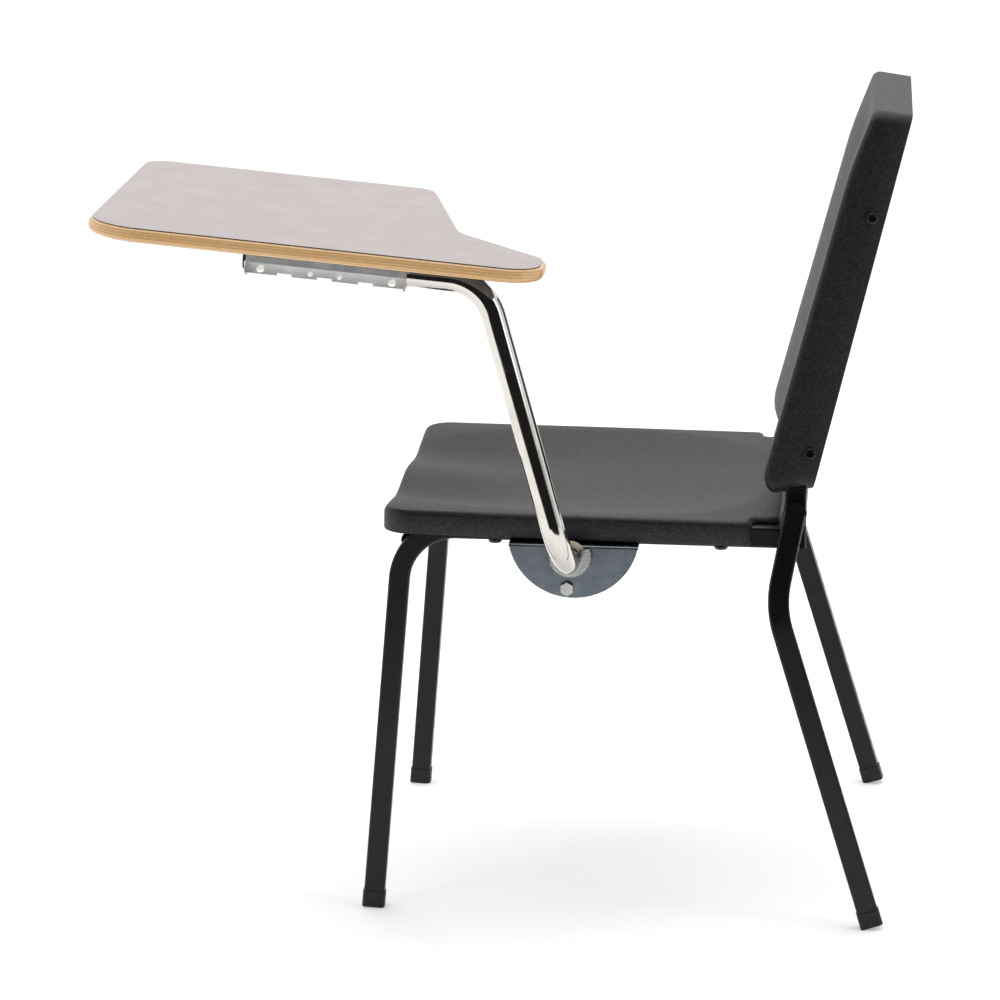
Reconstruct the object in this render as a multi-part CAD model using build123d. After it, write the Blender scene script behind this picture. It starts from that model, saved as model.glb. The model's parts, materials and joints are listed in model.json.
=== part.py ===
from build123d import *
import os
from math import atan, cos, degrees, pi, radians, sin

# Student desk chair: four-legged stacking chair with a moulded seat and back, and a
# flip-up writing tablet on a swinging arm at the sitter's left.
# Millimetres. +X is the sitter's left, -Y the way the sitter faces, +Z up.
# The origin is on the floor, in the chair's middle plane, halfway from front to rear feet.

# ---- driving dimensions: frame ----
FOOT_SPAN = 533.0          # front foot axis to rear foot axis, front to back
TUBE_W = 22.2              # flat-sided tube, seen from the side (7/8 in)
TUBE_T = 16.0              # the same tube, seen from the front (5/8 in)
TUBE_CORNER = 3.0
TUBE_WALL = 1.5
FRONT_FOOT_X = 226.0
REAR_FOOT_X = 262.0
RAIL_X = 212.5
LEG_RAKE = 0.0872          # front leg, backward per unit of height
LEG_BEND_R = 60.0
RAIL_BOTTOM_Z = 404.5      # underside of the rail, RAIL_REF_Y behind the front foot axis
RAIL_REF_Y = 90.0
RAIL_FALL = 0.016
UPRIGHT_Y = 447.4
UPRIGHT_BEND_Z = 462.0
UPRIGHT_BEND_X = 204.9
UPRIGHT_TOP_Z = 815.0
UPRIGHT_BEND_R = 100.0
BACK_RAKE = 0.2487
BACK_TAPER = 0.107
REAR_BEND = (252.0, 428.2, 344.8)
REAR_TOP = (224.6, 446.9, 438.0)
REAR_BEND_R = 95.0
CROSS_R = 9.5
FRONT_CROSS = (42.0, 399.0)
CAP_WALL = 1.0
CAP_HEIGHT = 17.0

# ---- driving dimensions: seat and back ----
SEAT_HALF_W = 226.0
SEAT_FRONT_Y = 14.0
SEAT_LENGTH = 420.0
SEAT_FRONT_Z = 436.5
SEAT_FALL = 0.022
SEAT_DEPTH = 25.5
SEAT_WALL = 3.5
NOTCH_X = 203.0
NOTCH_LENGTH = 31.0
DISH_R = 1400.0
DISH_DEPTH = 12.0
THIGH_R = 640.0
THIGH_DEPTH = 6.0
SEAT_SCREW_Y = (133.0, 370.0)
SEAT_SCREW_R = 2.5
BACK_WALL = 3.2
BACK_W_MID = 214.0         # half width at BACK_W_Z, tapering by BACK_TAPER
BACK_W_Z = 487.0
BACK_PROFILE = ((512.0, 853.5, 25.0), (561.0, 846.5, 4.0), (463.2, 462.0, 6.0), (409.6, 454.5, 26.0))
BACK_HOLLOW_R = 700.0
BACK_HOLLOW_DEPTH = 14.0
BACK_SCREWS = ((522.7, 742.0), (461.8, 499.0))
RIB_Z = (550.0, 640.0, 730.0)
RIB_T = 3.0
RIB_SET_IN = 9.0

# ---- driving dimensions: arm pivot ----
PIVOT = (213.5, 391.5)
SHAFT_R = 6.35
BUSH_BORE_R = 6.40
BUSH_R = 7.5
PLATE_T = 3.0
PLATE_OUT_X = 233.0
EAR_X = 190.0
HALF_DISC = (216.6, 415.0, 69.0)
SECTOR_R = 23.0
SECTOR_TEETH = 52
SECTOR_TOOTH = 2.0
SECTOR_X = (234.2, 238.2)
SECTOR_FLAT = 8.0
ARM_SWING = 60.0
STOP_BOLT = (210.0, 356.3)
STOP_BOLT_R = 4.0
STOP_SLEEVE_R = 6.3
CAM_R = 45.0
CAM_X = (222.0, 228.0)
CAM_HUB_R = 7.4
BRACKET_BOLT_Y = (158.0, 274.0)

# ---- driving dimensions: arm and tablet ----
ARM_X = 305.0
ARM_R = 12.7
ARM_WALL = 1.65
ARM_START_X = 239.0
ARM_LOW_BEND_R = 50.0
ARM_TOP_BEND_R = 52.0
HINGE_Y = 0.3              # the hinge frame's origin, behind the front foot axis
HINGE_Z = 706.3
TABLET_PITCH = 5.75        # the arm's upper run and the tablet fall this many degrees to the rear
ARM_CORNER_S = 133.4
ARM_FRONT_S = -111.0
BRACKET_S = (-109.0, 55.0)
BRACKET_TOP = 16.0
BRACKET_SHEET = 1.5
BRACKET_HALF_W = 16.5
FLANGE_HALF_W = 46.0
END_PLATE_T = 2.0
END_PLATE_LOW = -15.5
HINGE_BUSH_R = 13.7
HINGE_BUSH_BORE = 12.76
LOBE_HOLES = ((-93.0, 4.0), (-42.0, 2.6), (-12.0, 2.6), (41.5, 4.0))
CORE_T = 13.5
LAMINATE_T = 1.0
BACKER_T = 0.5
CORE_ROUND = 5.5
LAMINATE_INSET = 4.0
TABLET_OUTLINE = (
    (385.5, -269.0, 60.0),
    (-52.0, -280.0, 32.0),
    (-52.0, 43.0, 28.0),
    (204.0, 97.0, 60.0),
    (306.0, 195.0, 34.0),
    (386.0, 195.0, 42.0),
)
TABLET_SCREWS = [(side * 36.0, s) for side in (-1, 1) for s in (-92.0, -29.0, 37.0)]


# ---- shared helpers ----
def back(distance):
    """Y of a point this far behind the front foot axis."""
    return distance - FOOT_SPAN / 2


def at(x, distance, z):
    return Vector(x, back(distance), z)


def mirrored(shape):
    return mirror(shape, about=Plane.YZ)


def bent(points, radii, section, x_dir=(1, 0, 0)):
    """Sweep a section along straight runs joined by arcs."""
    path = FilletPolyline(*points, radius=radii) if radii else Polyline(*points)
    start = Plane(origin=path @ 0, x_dir=x_dir, z_dir=path % 0)
    return sweep(start * section, path=path)


def start_axis(points):
    """Section direction on the first run that arrives as X on the last one."""
    runs = [(b - a).normalized() for a, b in zip(points, points[1:])]
    axis = Vector(1, 0, 0)
    axis = (axis - runs[-1] * axis.dot(runs[-1])).normalized()
    for before, after in zip(runs[-2::-1], runs[:0:-1]):
        normal = before.cross(after).normalized()
        axis = normal * axis.dot(normal) + normal.cross(before) * axis.dot(normal.cross(after))
    return axis


def flat_tube(points, radii, grow=0.0, x_dir=None):
    outer = RectangleRounded(TUBE_T + 2 * grow, TUBE_W + 2 * grow, TUBE_CORNER + grow)
    return bent(points, radii, outer, x_dir or start_axis(points))


def hollow_tube(points, radii):
    bore_w = TUBE_W - 2 * TUBE_WALL
    bore_t = TUBE_T - 2 * TUBE_WALL
    bore = RectangleRounded(bore_t, bore_w, TUBE_CORNER - TUBE_WALL)
    return flat_tube(points, radii) - bent(points, radii, bore, start_axis(points))


def rod_x(radius, x0, x1, distance, z):
    """Round bar along X."""
    middle = Vector((x0 + x1) / 2, back(distance), z)
    return Plane(origin=middle, z_dir=(1, 0, 0)) * Cylinder(radius, x1 - x0)


def sheet_x(sketch, x0, x1):
    """Extrude a sketch drawn in (distance, height) along X from x0 to x1."""
    plane = Plane(origin=(x0, -FOOT_SPAN / 2, 0), x_dir=(0, 1, 0), z_dir=(1, 0, 0))
    return extrude(plane * sketch, amount=x1 - x0)


def rounded_polygon(corners):
    """Closed outline from (x, y, radius) corners."""
    face = make_face(Polyline(*[(x, y) for x, y, _ in corners], close=True))
    for x, y, radius in corners:
        corner = face.vertices().sort_by_distance((x, y, 0))[0]
        face = fillet(corner, radius)
    return face


def dome_screw(shank_r, length, head_r, head_t, socket_r):
    """Screw along Z: its head's seat at 0, the shank below and the domed head above."""
    head = Pos(0, 0, head_t / 2) * Cylinder(head_r, head_t)
    rim = head.edges().filter_by(GeomType.CIRCLE).sort_by(Axis.Z)[-1]
    head = fillet(rim, 0.75 * head_t)
    socket = Pos(0, 0, 0.45 * head_t) * extrude(RegularPolygon(socket_r, 6), amount=head_t)
    shank = Pos(0, 0, -length / 2 + 0.1) * Cylinder(shank_r, length + 0.2)
    return head - socket + shank


def rail_z(distance):
    """Height of the rail's centre line."""
    return RAIL_BOTTOM_Z + TUBE_W / 2 - RAIL_FALL * (distance - RAIL_REF_Y)


def back_half_width(z):
    return BACK_W_MID - BACK_TAPER * (z - BACK_W_Z)


parts = {}

# ---- frame ----
corner_y = LEG_RAKE * rail_z(36.0)
front_leg = [
    at(FRONT_FOOT_X, LEG_RAKE * 6.0, 6.0),
    at(RAIL_X, corner_y, rail_z(corner_y)),
    at(RAIL_X, UPRIGHT_Y - TUBE_W / 2, rail_z(UPRIGHT_Y - TUBE_W / 2)),
]
upright_line = [
    at(RAIL_X, UPRIGHT_Y, rail_z(UPRIGHT_Y) - TUBE_W / 2),
    at(UPRIGHT_BEND_X, UPRIGHT_Y, UPRIGHT_BEND_Z),
    at(
        UPRIGHT_BEND_X - BACK_TAPER * (UPRIGHT_TOP_Z - UPRIGHT_BEND_Z),
        UPRIGHT_Y + BACK_RAKE * (UPRIGHT_TOP_Z - UPRIGHT_BEND_Z),
        UPRIGHT_TOP_Z,
    ),
]
rear_leg_line = [
    at(REAR_FOOT_X - 0.2, FOOT_SPAN - 1.8, 6.0),
    at(*REAR_BEND),
    at(*REAR_TOP),
]


def drill_z(radius, x, distance, z0, z1):
    return Pos(x, back(distance), (z0 + z1) / 2) * Cylinder(radius, z1 - z0)


upright = hollow_tube(upright_line, [UPRIGHT_BEND_R])
upright_bar = flat_tube(upright_line, [UPRIGHT_BEND_R])
rail_bar = flat_tube(front_leg, [LEG_BEND_R])
side_frame = hollow_tube(front_leg, [LEG_BEND_R]) - upright_bar
for screw_y in SEAT_SCREW_Y:
    side_frame -= drill_z(SEAT_SCREW_R + 0.2, RAIL_X, screw_y, 390, 440)
parts["side_frame_right"] = mirrored(side_frame)


def rear_leg():
    """Dog-leg tube with a closed half-round top end."""
    tube = hollow_tube(rear_leg_line, [REAR_BEND_R])
    run = (rear_leg_line[2] - rear_leg_line[1]).normalized()
    side = Vector(1, 0, 0) - run * run.X
    disc_plane = Plane(origin=rear_leg_line[2], x_dir=run, z_dir=side)
    end = disc_plane * Cylinder(TUBE_W / 2, TUBE_T - 0.4)
    end -= disc_plane * Pos(-TUBE_W / 2 - 1, 0, 0) * Box(TUBE_W + 2, TUBE_W + 2, TUBE_T)
    return tube + end


parts["rear_leg_left"] = rear_leg() - upright_bar
parts["rear_leg_right"] = mirrored(parts["rear_leg_left"])

cross_end = RAIL_X - TUBE_T / 2
front_cross = rod_x(CROSS_R, -cross_end - 1.5, cross_end + 1.5, *FRONT_CROSS)
front_cross -= rod_x(CROSS_R - 1.5, -cross_end - 2, cross_end + 2, *FRONT_CROSS)
rear_cross_z = rail_z(UPRIGHT_Y)
rear_cross = rod_x(CROSS_R, -cross_end, cross_end, UPRIGHT_Y, rear_cross_z)
rear_cross -= rod_x(CROSS_R - 1.5, -cross_end - 1, cross_end + 1, UPRIGHT_Y, rear_cross_z)
parts["front_cross_tube"] = front_cross - [rail_bar, mirrored(rail_bar)]
parts["rear_cross_tube"] = rear_cross - [upright_bar, mirrored(upright_bar)]


def foot_cap(line, sink):
    """Square-cut cap over a leg's end, with its lowest edge worn flat on the floor."""
    along = (line[1] - line[0]).normalized()
    tilt = abs(along.Y)
    half = TUBE_W / 2 + CAP_WALL
    low = half * tilt / along.Z
    foot = line[0] + along * ((low - sink - line[0].Z) / along.Z)
    top = foot + along * CAP_HEIGHT
    cap = flat_tube([foot, top], None, CAP_WALL, start_axis(line))
    cap -= flat_tube([line[0], top + along], None, 0.02, start_axis(line))
    floor = Pos(foot.X, foot.Y, -20) * Box(80, 80, 40)
    return cap - floor


for row, line, sink in (("front", front_leg, 0.5), ("rear", rear_leg_line, 1.0)):
    cap = foot_cap(line, sink)
    parts[f"foot_{row}_left"] = cap
    parts[f"foot_{row}_right"] = mirrored(cap)


# ---- seat ----
def seat_shell():
    """Single-wall pan with a skirt all round, a dish, two thigh hollows and notched rear corners."""
    notch_w = SEAT_HALF_W - NOTCH_X

    def block(inset, top, bottom, round_edge):
        w = SEAT_HALF_W - inset
        n = NOTCH_X - inset
        y1 = SEAT_LENGTH - inset
        y2 = SEAT_LENGTH - NOTCH_LENGTH - inset
        outline = rounded_polygon(
            (
                (-w, inset, 26.0 - inset),
                (w, inset, 26.0 - inset),
                (w, y2, 2.0),
                (n, y2, 2.0),
                (n, y1, 3.0),
                (-n, y1, 3.0),
                (-n, y2, 2.0),
                (-w, y2, 2.0),
            )
        )
        body = extrude(Pos(0, 0, bottom) * outline, amount=top - bottom)
        if round_edge:
            rim = body.faces().sort_by(Axis.Z)[-1].edges()
            body = fillet(rim, round_edge)
        return body

    def hollows(grow):
        dish = Pos(0, 236, DISH_R - DISH_DEPTH) * Sphere(DISH_R + grow)
        thighs = [
            Pos(x, -18, THIGH_R - THIGH_DEPTH) * Sphere(THIGH_R + grow) for x in (-100, 100)
        ]
        return dish + thighs

    outer = block(0.0, 0.0, -SEAT_DEPTH, 5.0)
    pan_floor = hollows(SEAT_WALL) & Pos(0, SEAT_LENGTH / 2, -12) * Box(520, 500, 24)
    inner = block(SEAT_WALL, -SEAT_WALL, -SEAT_DEPTH - 1, 2.0) - pan_floor
    shell = outer - inner - hollows(0.0)
    for x in (-RAIL_X, RAIL_X):
        for y in SEAT_SCREW_Y:
            boss = Pos(x, y - SEAT_FRONT_Y, -SEAT_WALL - 3.0) * Cylinder(7.0, 6.2)
            shell += boss
    return shell


seat_place = Location((0, back(SEAT_FRONT_Y), SEAT_FRONT_Z), (-degrees(atan(SEAT_FALL)), 0, 0))
seat = seat_shell().moved(seat_place)


def seat_screw(x, distance):
    """Wide-headed screw up through the rail into the seat's boss."""
    under = rail_z(distance) - TUBE_W / 2 - 0.2
    screw = dome_screw(SEAT_SCREW_R, TUBE_W + 5.0, 7.5, 3.8, 2.4)
    return screw.moved(Location(at(x, distance, under), (180, 0, 0)))


screws = [seat_screw(x, y) for x in (-RAIL_X, RAIL_X) for y in SEAT_SCREW_Y]
screw_holes = [
    drill_z(SEAT_SCREW_R + 0.05, x, y, 410, rail_z(y) + TUBE_W / 2 + 5.1)
    for x in (-RAIL_X, RAIL_X)
    for y in SEAT_SCREW_Y
]
parts["seat_shell"] = seat - screw_holes - [rail_bar, mirrored(rail_bar)]
parts["seat_screws"] = Compound(children=screws)


# ---- back ----
def back_block(inset):
    """Raked, tapered block of the back; drawn in by an inset it runs out through the rear."""
    corners = [(y + 4 * inset * (i in (1, 2)), z, r) for i, (y, z, r) in enumerate(BACK_PROFILE)]
    profile = rounded_polygon(corners)
    if inset:
        profile = offset(profile, -inset, kind=Kind.INTERSECTION)
    slab = sheet_x(profile, -240, 240)
    z0, z1 = 440.0, 880.0
    w0 = back_half_width(z0) - inset
    w1 = back_half_width(z1) - inset
    front_view = Polyline((-w0, z0), (w0, z0), (w1, z1), (-w1, z1), close=True)
    wedge = extrude(Plane.XZ.offset(-back(600)) * make_face(front_view), amount=240)
    block = (slab & wedge).solid()
    if not inset:
        for side in (0, -1):
            block = fillet(block.faces().sort_by(Axis.X)[side].edges(), 4.0)
    return block


def back_hollow(grow):
    """Large cylinder that hollows the front of the back for the sitter."""
    rake = (BACK_PROFILE[0][0] - BACK_PROFILE[3][0]) / (BACK_PROFILE[0][1] - BACK_PROFILE[3][1])
    lean = atan(rake)
    mid_y = (BACK_PROFILE[0][0] + BACK_PROFILE[3][0]) / 2
    mid_z = (BACK_PROFILE[0][1] + BACK_PROFILE[3][1]) / 2
    reach = BACK_HOLLOW_R - BACK_HOLLOW_DEPTH
    centre = at(0, mid_y - reach * cos(lean), mid_z + reach * sin(lean))
    axis = Vector(0, sin(lean), cos(lean))
    return Plane(origin=centre, z_dir=axis) * Cylinder(BACK_HOLLOW_R + grow, 700)


def back_screw_place(distance, z):
    """Square to the back's tapered side, its outward direction along Z."""
    lean = degrees(atan(BACK_TAPER))
    return Location((back_half_width(z), back(distance), z), (0, 90 - lean, 0))


def back_rib(z):
    """Cross rib inside the open rear of the back, set in from its rear edge."""
    top_rear, low_rear = BACK_PROFILE[1], BACK_PROFILE[2]
    rear = low_rear[0] + (z - low_rear[1]) * (top_rear[0] - low_rear[0]) / (top_rear[1] - low_rear[1])
    y0, y1 = rear - 90.0, rear - RIB_SET_IN
    return Pos(0, back((y0 + y1) / 2), z) * Box(480, y1 - y0, RIB_T)


back_body = back_block(0.0) - back_hollow(0.0)
back_body -= back_block(BACK_WALL) - back_hollow(BACK_WALL) - [back_rib(z) for z in RIB_Z]
clear = flat_tube(upright_line, [UPRIGHT_BEND_R], 0.4)
back_body -= [clear, mirrored(clear)]
back_places = [back_screw_place(y, z) for y, z in BACK_SCREWS]
back_drills = [Cylinder(2.6, 26.0).moved(place) for place in back_places]
back_body -= back_drills + [mirrored(d) for d in back_drills]
parts["back_shell"] = back_body
back_screws = [dome_screw(2.45, 11.0, 6.0, 3.0, 2.0).moved(place) for place in back_places]
parts["back_screws"] = Compound(children=back_screws + [mirrored(s) for s in back_screws])
upright -= back_drills
parts["upright_left"] = upright
parts["upright_right"] = mirrored(upright)

# ---- arm pivot ----
bracket_tilt = -degrees(atan(RAIL_FALL))
web_top = rail_z(HALF_DISC[0]) - TUBE_W / 2 - 0.02


def hex_prism(across_flats, height):
    return extrude(RegularPolygon(across_flats / 2, 6, major_radius=False), amount=height)


def pivot_bracket():
    """Half-disc outer plate, web under the rail and inner ear, bent from one sheet."""
    disc_y, disc_z, disc_r = HALF_DISC
    disc = Pos(disc_y, disc_z) * Circle(disc_r)
    below = Pos(disc_y, web_top - 100) * Rectangle(200, 200)
    plate = sheet_x((disc & below).face(), PLATE_OUT_X - PLATE_T, PLATE_OUT_X)
    half = (disc_r**2 - (disc_z - web_top) ** 2) ** 0.5
    web_sketch = Pos(disc_y, web_top - PLATE_T / 2) * Rectangle(2 * half, PLATE_T)
    bracket = plate + sheet_x(web_sketch, EAR_X, PLATE_OUT_X)
    ear_half = 26.0
    ear = Pos(PIVOT[0], PIVOT[1]) * Circle(ear_half)
    ear &= Pos(PIVOT[0], web_top - 50) * Rectangle(2 * ear_half, 100)
    bracket += sheet_x(ear.face(), EAR_X, EAR_X + PLATE_T)
    pivot_place = Plane(origin=at(0, disc_y, web_top))
    tilted = pivot_place.location * Rot(bracket_tilt, 0, 0) * pivot_place.location.inverse()
    bracket = bracket.moved(tilted)
    outer_edge = bracket.edges().filter_by(Axis.X, reverse=True)
    outer_edge = outer_edge.sort_by_distance(at(PLATE_OUT_X, disc_y, web_top))[0]
    bracket = fillet(outer_edge, 2.6)
    bracket -= rod_x(BUSH_R, EAR_X - 5, PLATE_OUT_X + 5, *PIVOT)
    bracket -= rod_x(STOP_BOLT_R + 0.1, PLATE_OUT_X - 8, PLATE_OUT_X + 5, *STOP_BOLT)
    for bolt_y in BRACKET_BOLT_Y:
        bracket -= drill_z(3.2, RAIL_X, bolt_y, web_top - 15, web_top + 15)
    return bracket


def bracket_bolt(distance):
    under = rail_z(distance) - TUBE_W / 2 - PLATE_T
    head = Pos(RAIL_X, back(distance), under - 4.1) * hex_prism(10.0, 4.0)
    return head + drill_z(3.0, RAIL_X, distance, under - 1, under + 13)


for bolt_y in BRACKET_BOLT_Y:
    side_frame -= drill_z(3.2, RAIL_X, bolt_y, rail_z(bolt_y) - 16, rail_z(bolt_y))

parts["side_frame_left"] = side_frame

parts["pivot_bracket"] = pivot_bracket()
parts["bracket_bolts"] = Compound(children=[bracket_bolt(y) for y in BRACKET_BOLT_Y])
bush_spans = ((EAR_X, EAR_X + PLATE_T), (PLATE_OUT_X - PLATE_T, PLATE_OUT_X))
bushes = [rod_x(BUSH_R, a, b, *PIVOT) - rod_x(BUSH_BORE_R, a - 1, b + 1, *PIVOT) for a, b in bush_spans]
parts["pivot_bushes"] = Compound(children=bushes)

bolt_place = Plane(origin=at(PLATE_OUT_X, *STOP_BOLT), x_dir=(0, 0, 1), z_dir=(1, 0, 0))
stop_head = bolt_place * (hex_prism(12.7, 5.3) - Pos(0, 0, 4.6) * Cylinder(3.4, 1.0))
parts["stop_bolt"] = stop_head + rod_x(STOP_BOLT_R, 214, PLATE_OUT_X, *STOP_BOLT)
sleeve_x = (221.6, PLATE_OUT_X - PLATE_T)
sleeve = rod_x(STOP_SLEEVE_R, *sleeve_x, *STOP_BOLT)
parts["stop_sleeve"] = sleeve - rod_x(STOP_BOLT_R + 0.05, 220, 232, *STOP_BOLT)
nut_place = Plane(origin=at(sleeve_x[0] - 5.6, *STOP_BOLT), x_dir=(0, 0, 1), z_dir=(1, 0, 0))
stop_nut = nut_place * hex_prism(12.7, 5.5)
parts["stop_nut"] = stop_nut - rod_x(STOP_BOLT_R + 0.05, 210, 225, *STOP_BOLT)

shaft = rod_x(SHAFT_R, 180.5, SECTOR_X[1], *PIVOT)
shaft += rod_x(12.4, SECTOR_X[1], ARM_START_X, *PIVOT)
shaft += rod_x(ARM_R - ARM_WALL - 0.05, ARM_START_X, 254.0, *PIVOT)
parts["pivot_shaft"] = shaft


def toothed_sector():
    """Serrated plate fixed to the shaft, flat across the top."""
    ring = []
    for i in range(2 * SECTOR_TEETH):
        radius = SECTOR_R - SECTOR_TOOTH * (i % 2)
        turn = pi * i / SECTOR_TEETH
        ring.append((PIVOT[0] + radius * cos(turn), PIVOT[1] + radius * sin(turn)))
    outline = make_face(Polyline(*ring, close=True))
    outline -= Pos(PIVOT[0], PIVOT[1] + SECTOR_FLAT + 20) * Rectangle(60, 40)
    plate = sheet_x(outline, *SECTOR_X)
    return plate - rod_x(SHAFT_R, SECTOR_X[0] - 1, SECTOR_X[1] + 1, *PIVOT)


parts["toothed_sector"] = toothed_sector()
washer = rod_x(16.0, PLATE_OUT_X + 0.15, SECTOR_X[0], *PIVOT)
parts["thrust_washer"] = washer - rod_x(SHAFT_R, 230, 236, *PIVOT)


def stop_cam():
    """Plate on the shaft whose curved slot runs on the stop bolt's sleeve."""
    dy = STOP_BOLT[0] - PIVOT[0]
    dz = STOP_BOLT[1] - PIVOT[1]
    reach = (dy**2 + dz**2) ** 0.5
    start = -90.0 + degrees(atan(dy / -dz))
    half = STOP_SLEEVE_R + 0.2
    wall = degrees(7.0 / reach)
    half_turn = degrees(half / reach)

    def wedge(a0, a1, radius):
        far = [(radius * cos(radians(a)), radius * sin(radians(a))) for a in (a0, (a0 + a1) / 2, a1)]
        return make_face(Polyline((0, 0), *far, close=True))

    body = (Circle(CAM_R) & wedge(start - half_turn - wall, start + ARM_SWING + half_turn + wall, 90)).face()
    track = Circle(reach + half) - Circle(reach - half)
    track = (track & wedge(start, start + ARM_SWING, 90)).face()
    for angle in (start, start + ARM_SWING):
        track += Pos(reach * cos(radians(angle)), reach * sin(radians(angle))) * Circle(half)
    sketch = body + Circle(CAM_HUB_R) - track - Circle(SHAFT_R)
    return sheet_x(Pos(*PIVOT) * sketch, *CAM_X)


parts["stop_cam"] = stop_cam()
ret_washer = rod_x(12.0, 188.5, EAR_X - 0.15, *PIVOT)
parts["retaining_washer"] = ret_washer - rod_x(SHAFT_R, 186, 192, *PIVOT)
ret_place = Plane(origin=at(182.0, *PIVOT), z_dir=(1, 0, 0))
ret_nut = ret_place * hex_prism(19.0, 6.5)
parts["retaining_nut"] = ret_nut - rod_x(SHAFT_R, 180, 190, *PIVOT)

# ---- arm ----
hinge = Location((0, back(HINGE_Y), HINGE_Z), (-TABLET_PITCH, 0, 0))


def on_hinge(x, s, n):
    """Point in the hinge frame: across, along the arm's upper run, square to the tablet."""
    return (hinge * Pos(x, s, n)).position


arm_line = [
    at(ARM_START_X, *PIVOT),
    at(ARM_X, *PIVOT),
    on_hinge(ARM_X, ARM_CORNER_S, 0),
    on_hinge(ARM_X, ARM_FRONT_S, 0),
]
arm_radii = [ARM_LOW_BEND_R, ARM_TOP_BEND_R]
arm = bent(arm_line, arm_radii, Circle(ARM_R), (0, 1, 0))
arm -= bent(arm_line, arm_radii, Circle(ARM_R - ARM_WALL), (0, 1, 0))
parts["arm_tube"] = arm


def rod_s(radius, s0, s1, x=ARM_X, n=0.0):
    """Round bar along the arm's upper run, in the hinge frame."""
    middle = Pos(x, (s0 + s1) / 2, n)
    return middle * Rot(90, 0, 0) * Cylinder(radius, s1 - s0)


def box_s(x0, x1, s0, s1, n0, n1):
    middle = Pos((x0 + x1) / 2, (s0 + s1) / 2, (n0 + n1) / 2)
    return middle * Box(x1 - x0, s1 - s0, n1 - n0)


plug = rod_s(ARM_R - ARM_WALL - 0.05, ARM_FRONT_S, ARM_FRONT_S + 14)
plug += rod_s(ARM_R - 0.2, ARM_FRONT_S - 1.8, ARM_FRONT_S)
parts["arm_end_plug"] = plug.moved(hinge)

ring_s = (BRACKET_S[0] + 5.0, BRACKET_S[0] + 6.6)
ring = rod_s(14.1, *ring_s) - rod_s(ARM_R, ring_s[0] - 1, ring_s[1] + 1)
ring -= box_s(ARM_X - 7, ARM_X + 7, ring_s[0] - 1, ring_s[1] + 1, -20, -5)
parts["retaining_ring"] = ring.moved(hinge)

collar_s = (BRACKET_S[1] - 9.0, BRACKET_S[1] - 3.0)


def stop_collar():
    """Collar on the arm whose gap limits the tablet's flip."""
    collar = rod_s(14.1, *collar_s) - rod_s(ARM_R, collar_s[0] - 1, collar_s[1] + 1)
    gap = box_s(ARM_X - 20, ARM_X + 5.5, collar_s[0] + 2.5, collar_s[1] + 1, 1.75, 20)
    return collar - gap


parts["stop_collar"] = stop_collar().moved(hinge)

# ---- tablet bracket ----
bracket_s0, bracket_s1 = BRACKET_S
wall_top = BRACKET_TOP - BRACKET_SHEET


def tablet_bracket():
    """Channel under the tablet: flanged top, two walls and a lobed strip that flares outward."""
    x0 = ARM_X - FLANGE_HALF_W
    x1 = ARM_X + FLANGE_HALF_W
    channel = box_s(x0, x1, bracket_s0, bracket_s1, wall_top, BRACKET_TOP)
    strip = 11.5
    for side in (-1, 1):
        inner = ARM_X + side * (BRACKET_HALF_W - BRACKET_SHEET)
        outer = ARM_X + side * BRACKET_HALF_W
        xs = sorted((inner, outer))
        channel += box_s(xs[0], xs[1], bracket_s0, bracket_s1, -2.0, wall_top)
        lobe = box_s(-BRACKET_SHEET / 2, BRACKET_SHEET / 2, bracket_s0, bracket_s1, -strip, 0)
        for s in (-68.0, -27.0, 15.0):
            lobe -= box_s(-2, 2, s - 7.5, s + 7.5, -strip - 1, -strip + 2.6)
        for s, radius in LOBE_HOLES:
            lobe -= Pos(0, s, -strip + 5.4) * Rot(0, 90, 0) * Cylinder(radius, 6)
        flare = Rot(0, -side * 26.0, 0)
        channel += Pos((inner + outer) / 2, 0, -2.0) * flare * lobe
    for x, s in TABLET_SCREWS:
        channel -= Pos(ARM_X + x, s, BRACKET_TOP) * Cylinder(2.3, 8)
    return channel


parts["tablet_bracket"] = tablet_bracket().moved(hinge)
inside = BRACKET_HALF_W - BRACKET_SHEET
plate_spans = ((bracket_s0, bracket_s0 + END_PLATE_T), (bracket_s1 - END_PLATE_T, bracket_s1))
end_plates = []
hinge_bushes = []
for s0, s1 in plate_spans:
    plate = box_s(ARM_X - inside, ARM_X + inside, s0, s1, END_PLATE_LOW, wall_top)
    end_plates.append(plate - rod_s(HINGE_BUSH_R, s0 - 1, s1 + 1))
    bush = rod_s(HINGE_BUSH_R, s0, s1) - rod_s(HINGE_BUSH_BORE, s0 - 1, s1 + 1)
    hinge_bushes.append(bush)
tab_s = (collar_s[0] + 2.8, bracket_s1 - END_PLATE_T)
tab = rod_s(14.6, *tab_s) - rod_s(13.1, tab_s[0] - 1, tab_s[1] + 1)
tab &= box_s(ARM_X - 20, ARM_X, tab_s[0], tab_s[1], 2.0, 5.2)
end_plates[1] += tab
parts["hinge_end_plates"] = Compound(children=[p.moved(hinge) for p in end_plates])
parts["hinge_bushes"] = Compound(children=[b.moved(hinge) for b in hinge_bushes])

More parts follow.
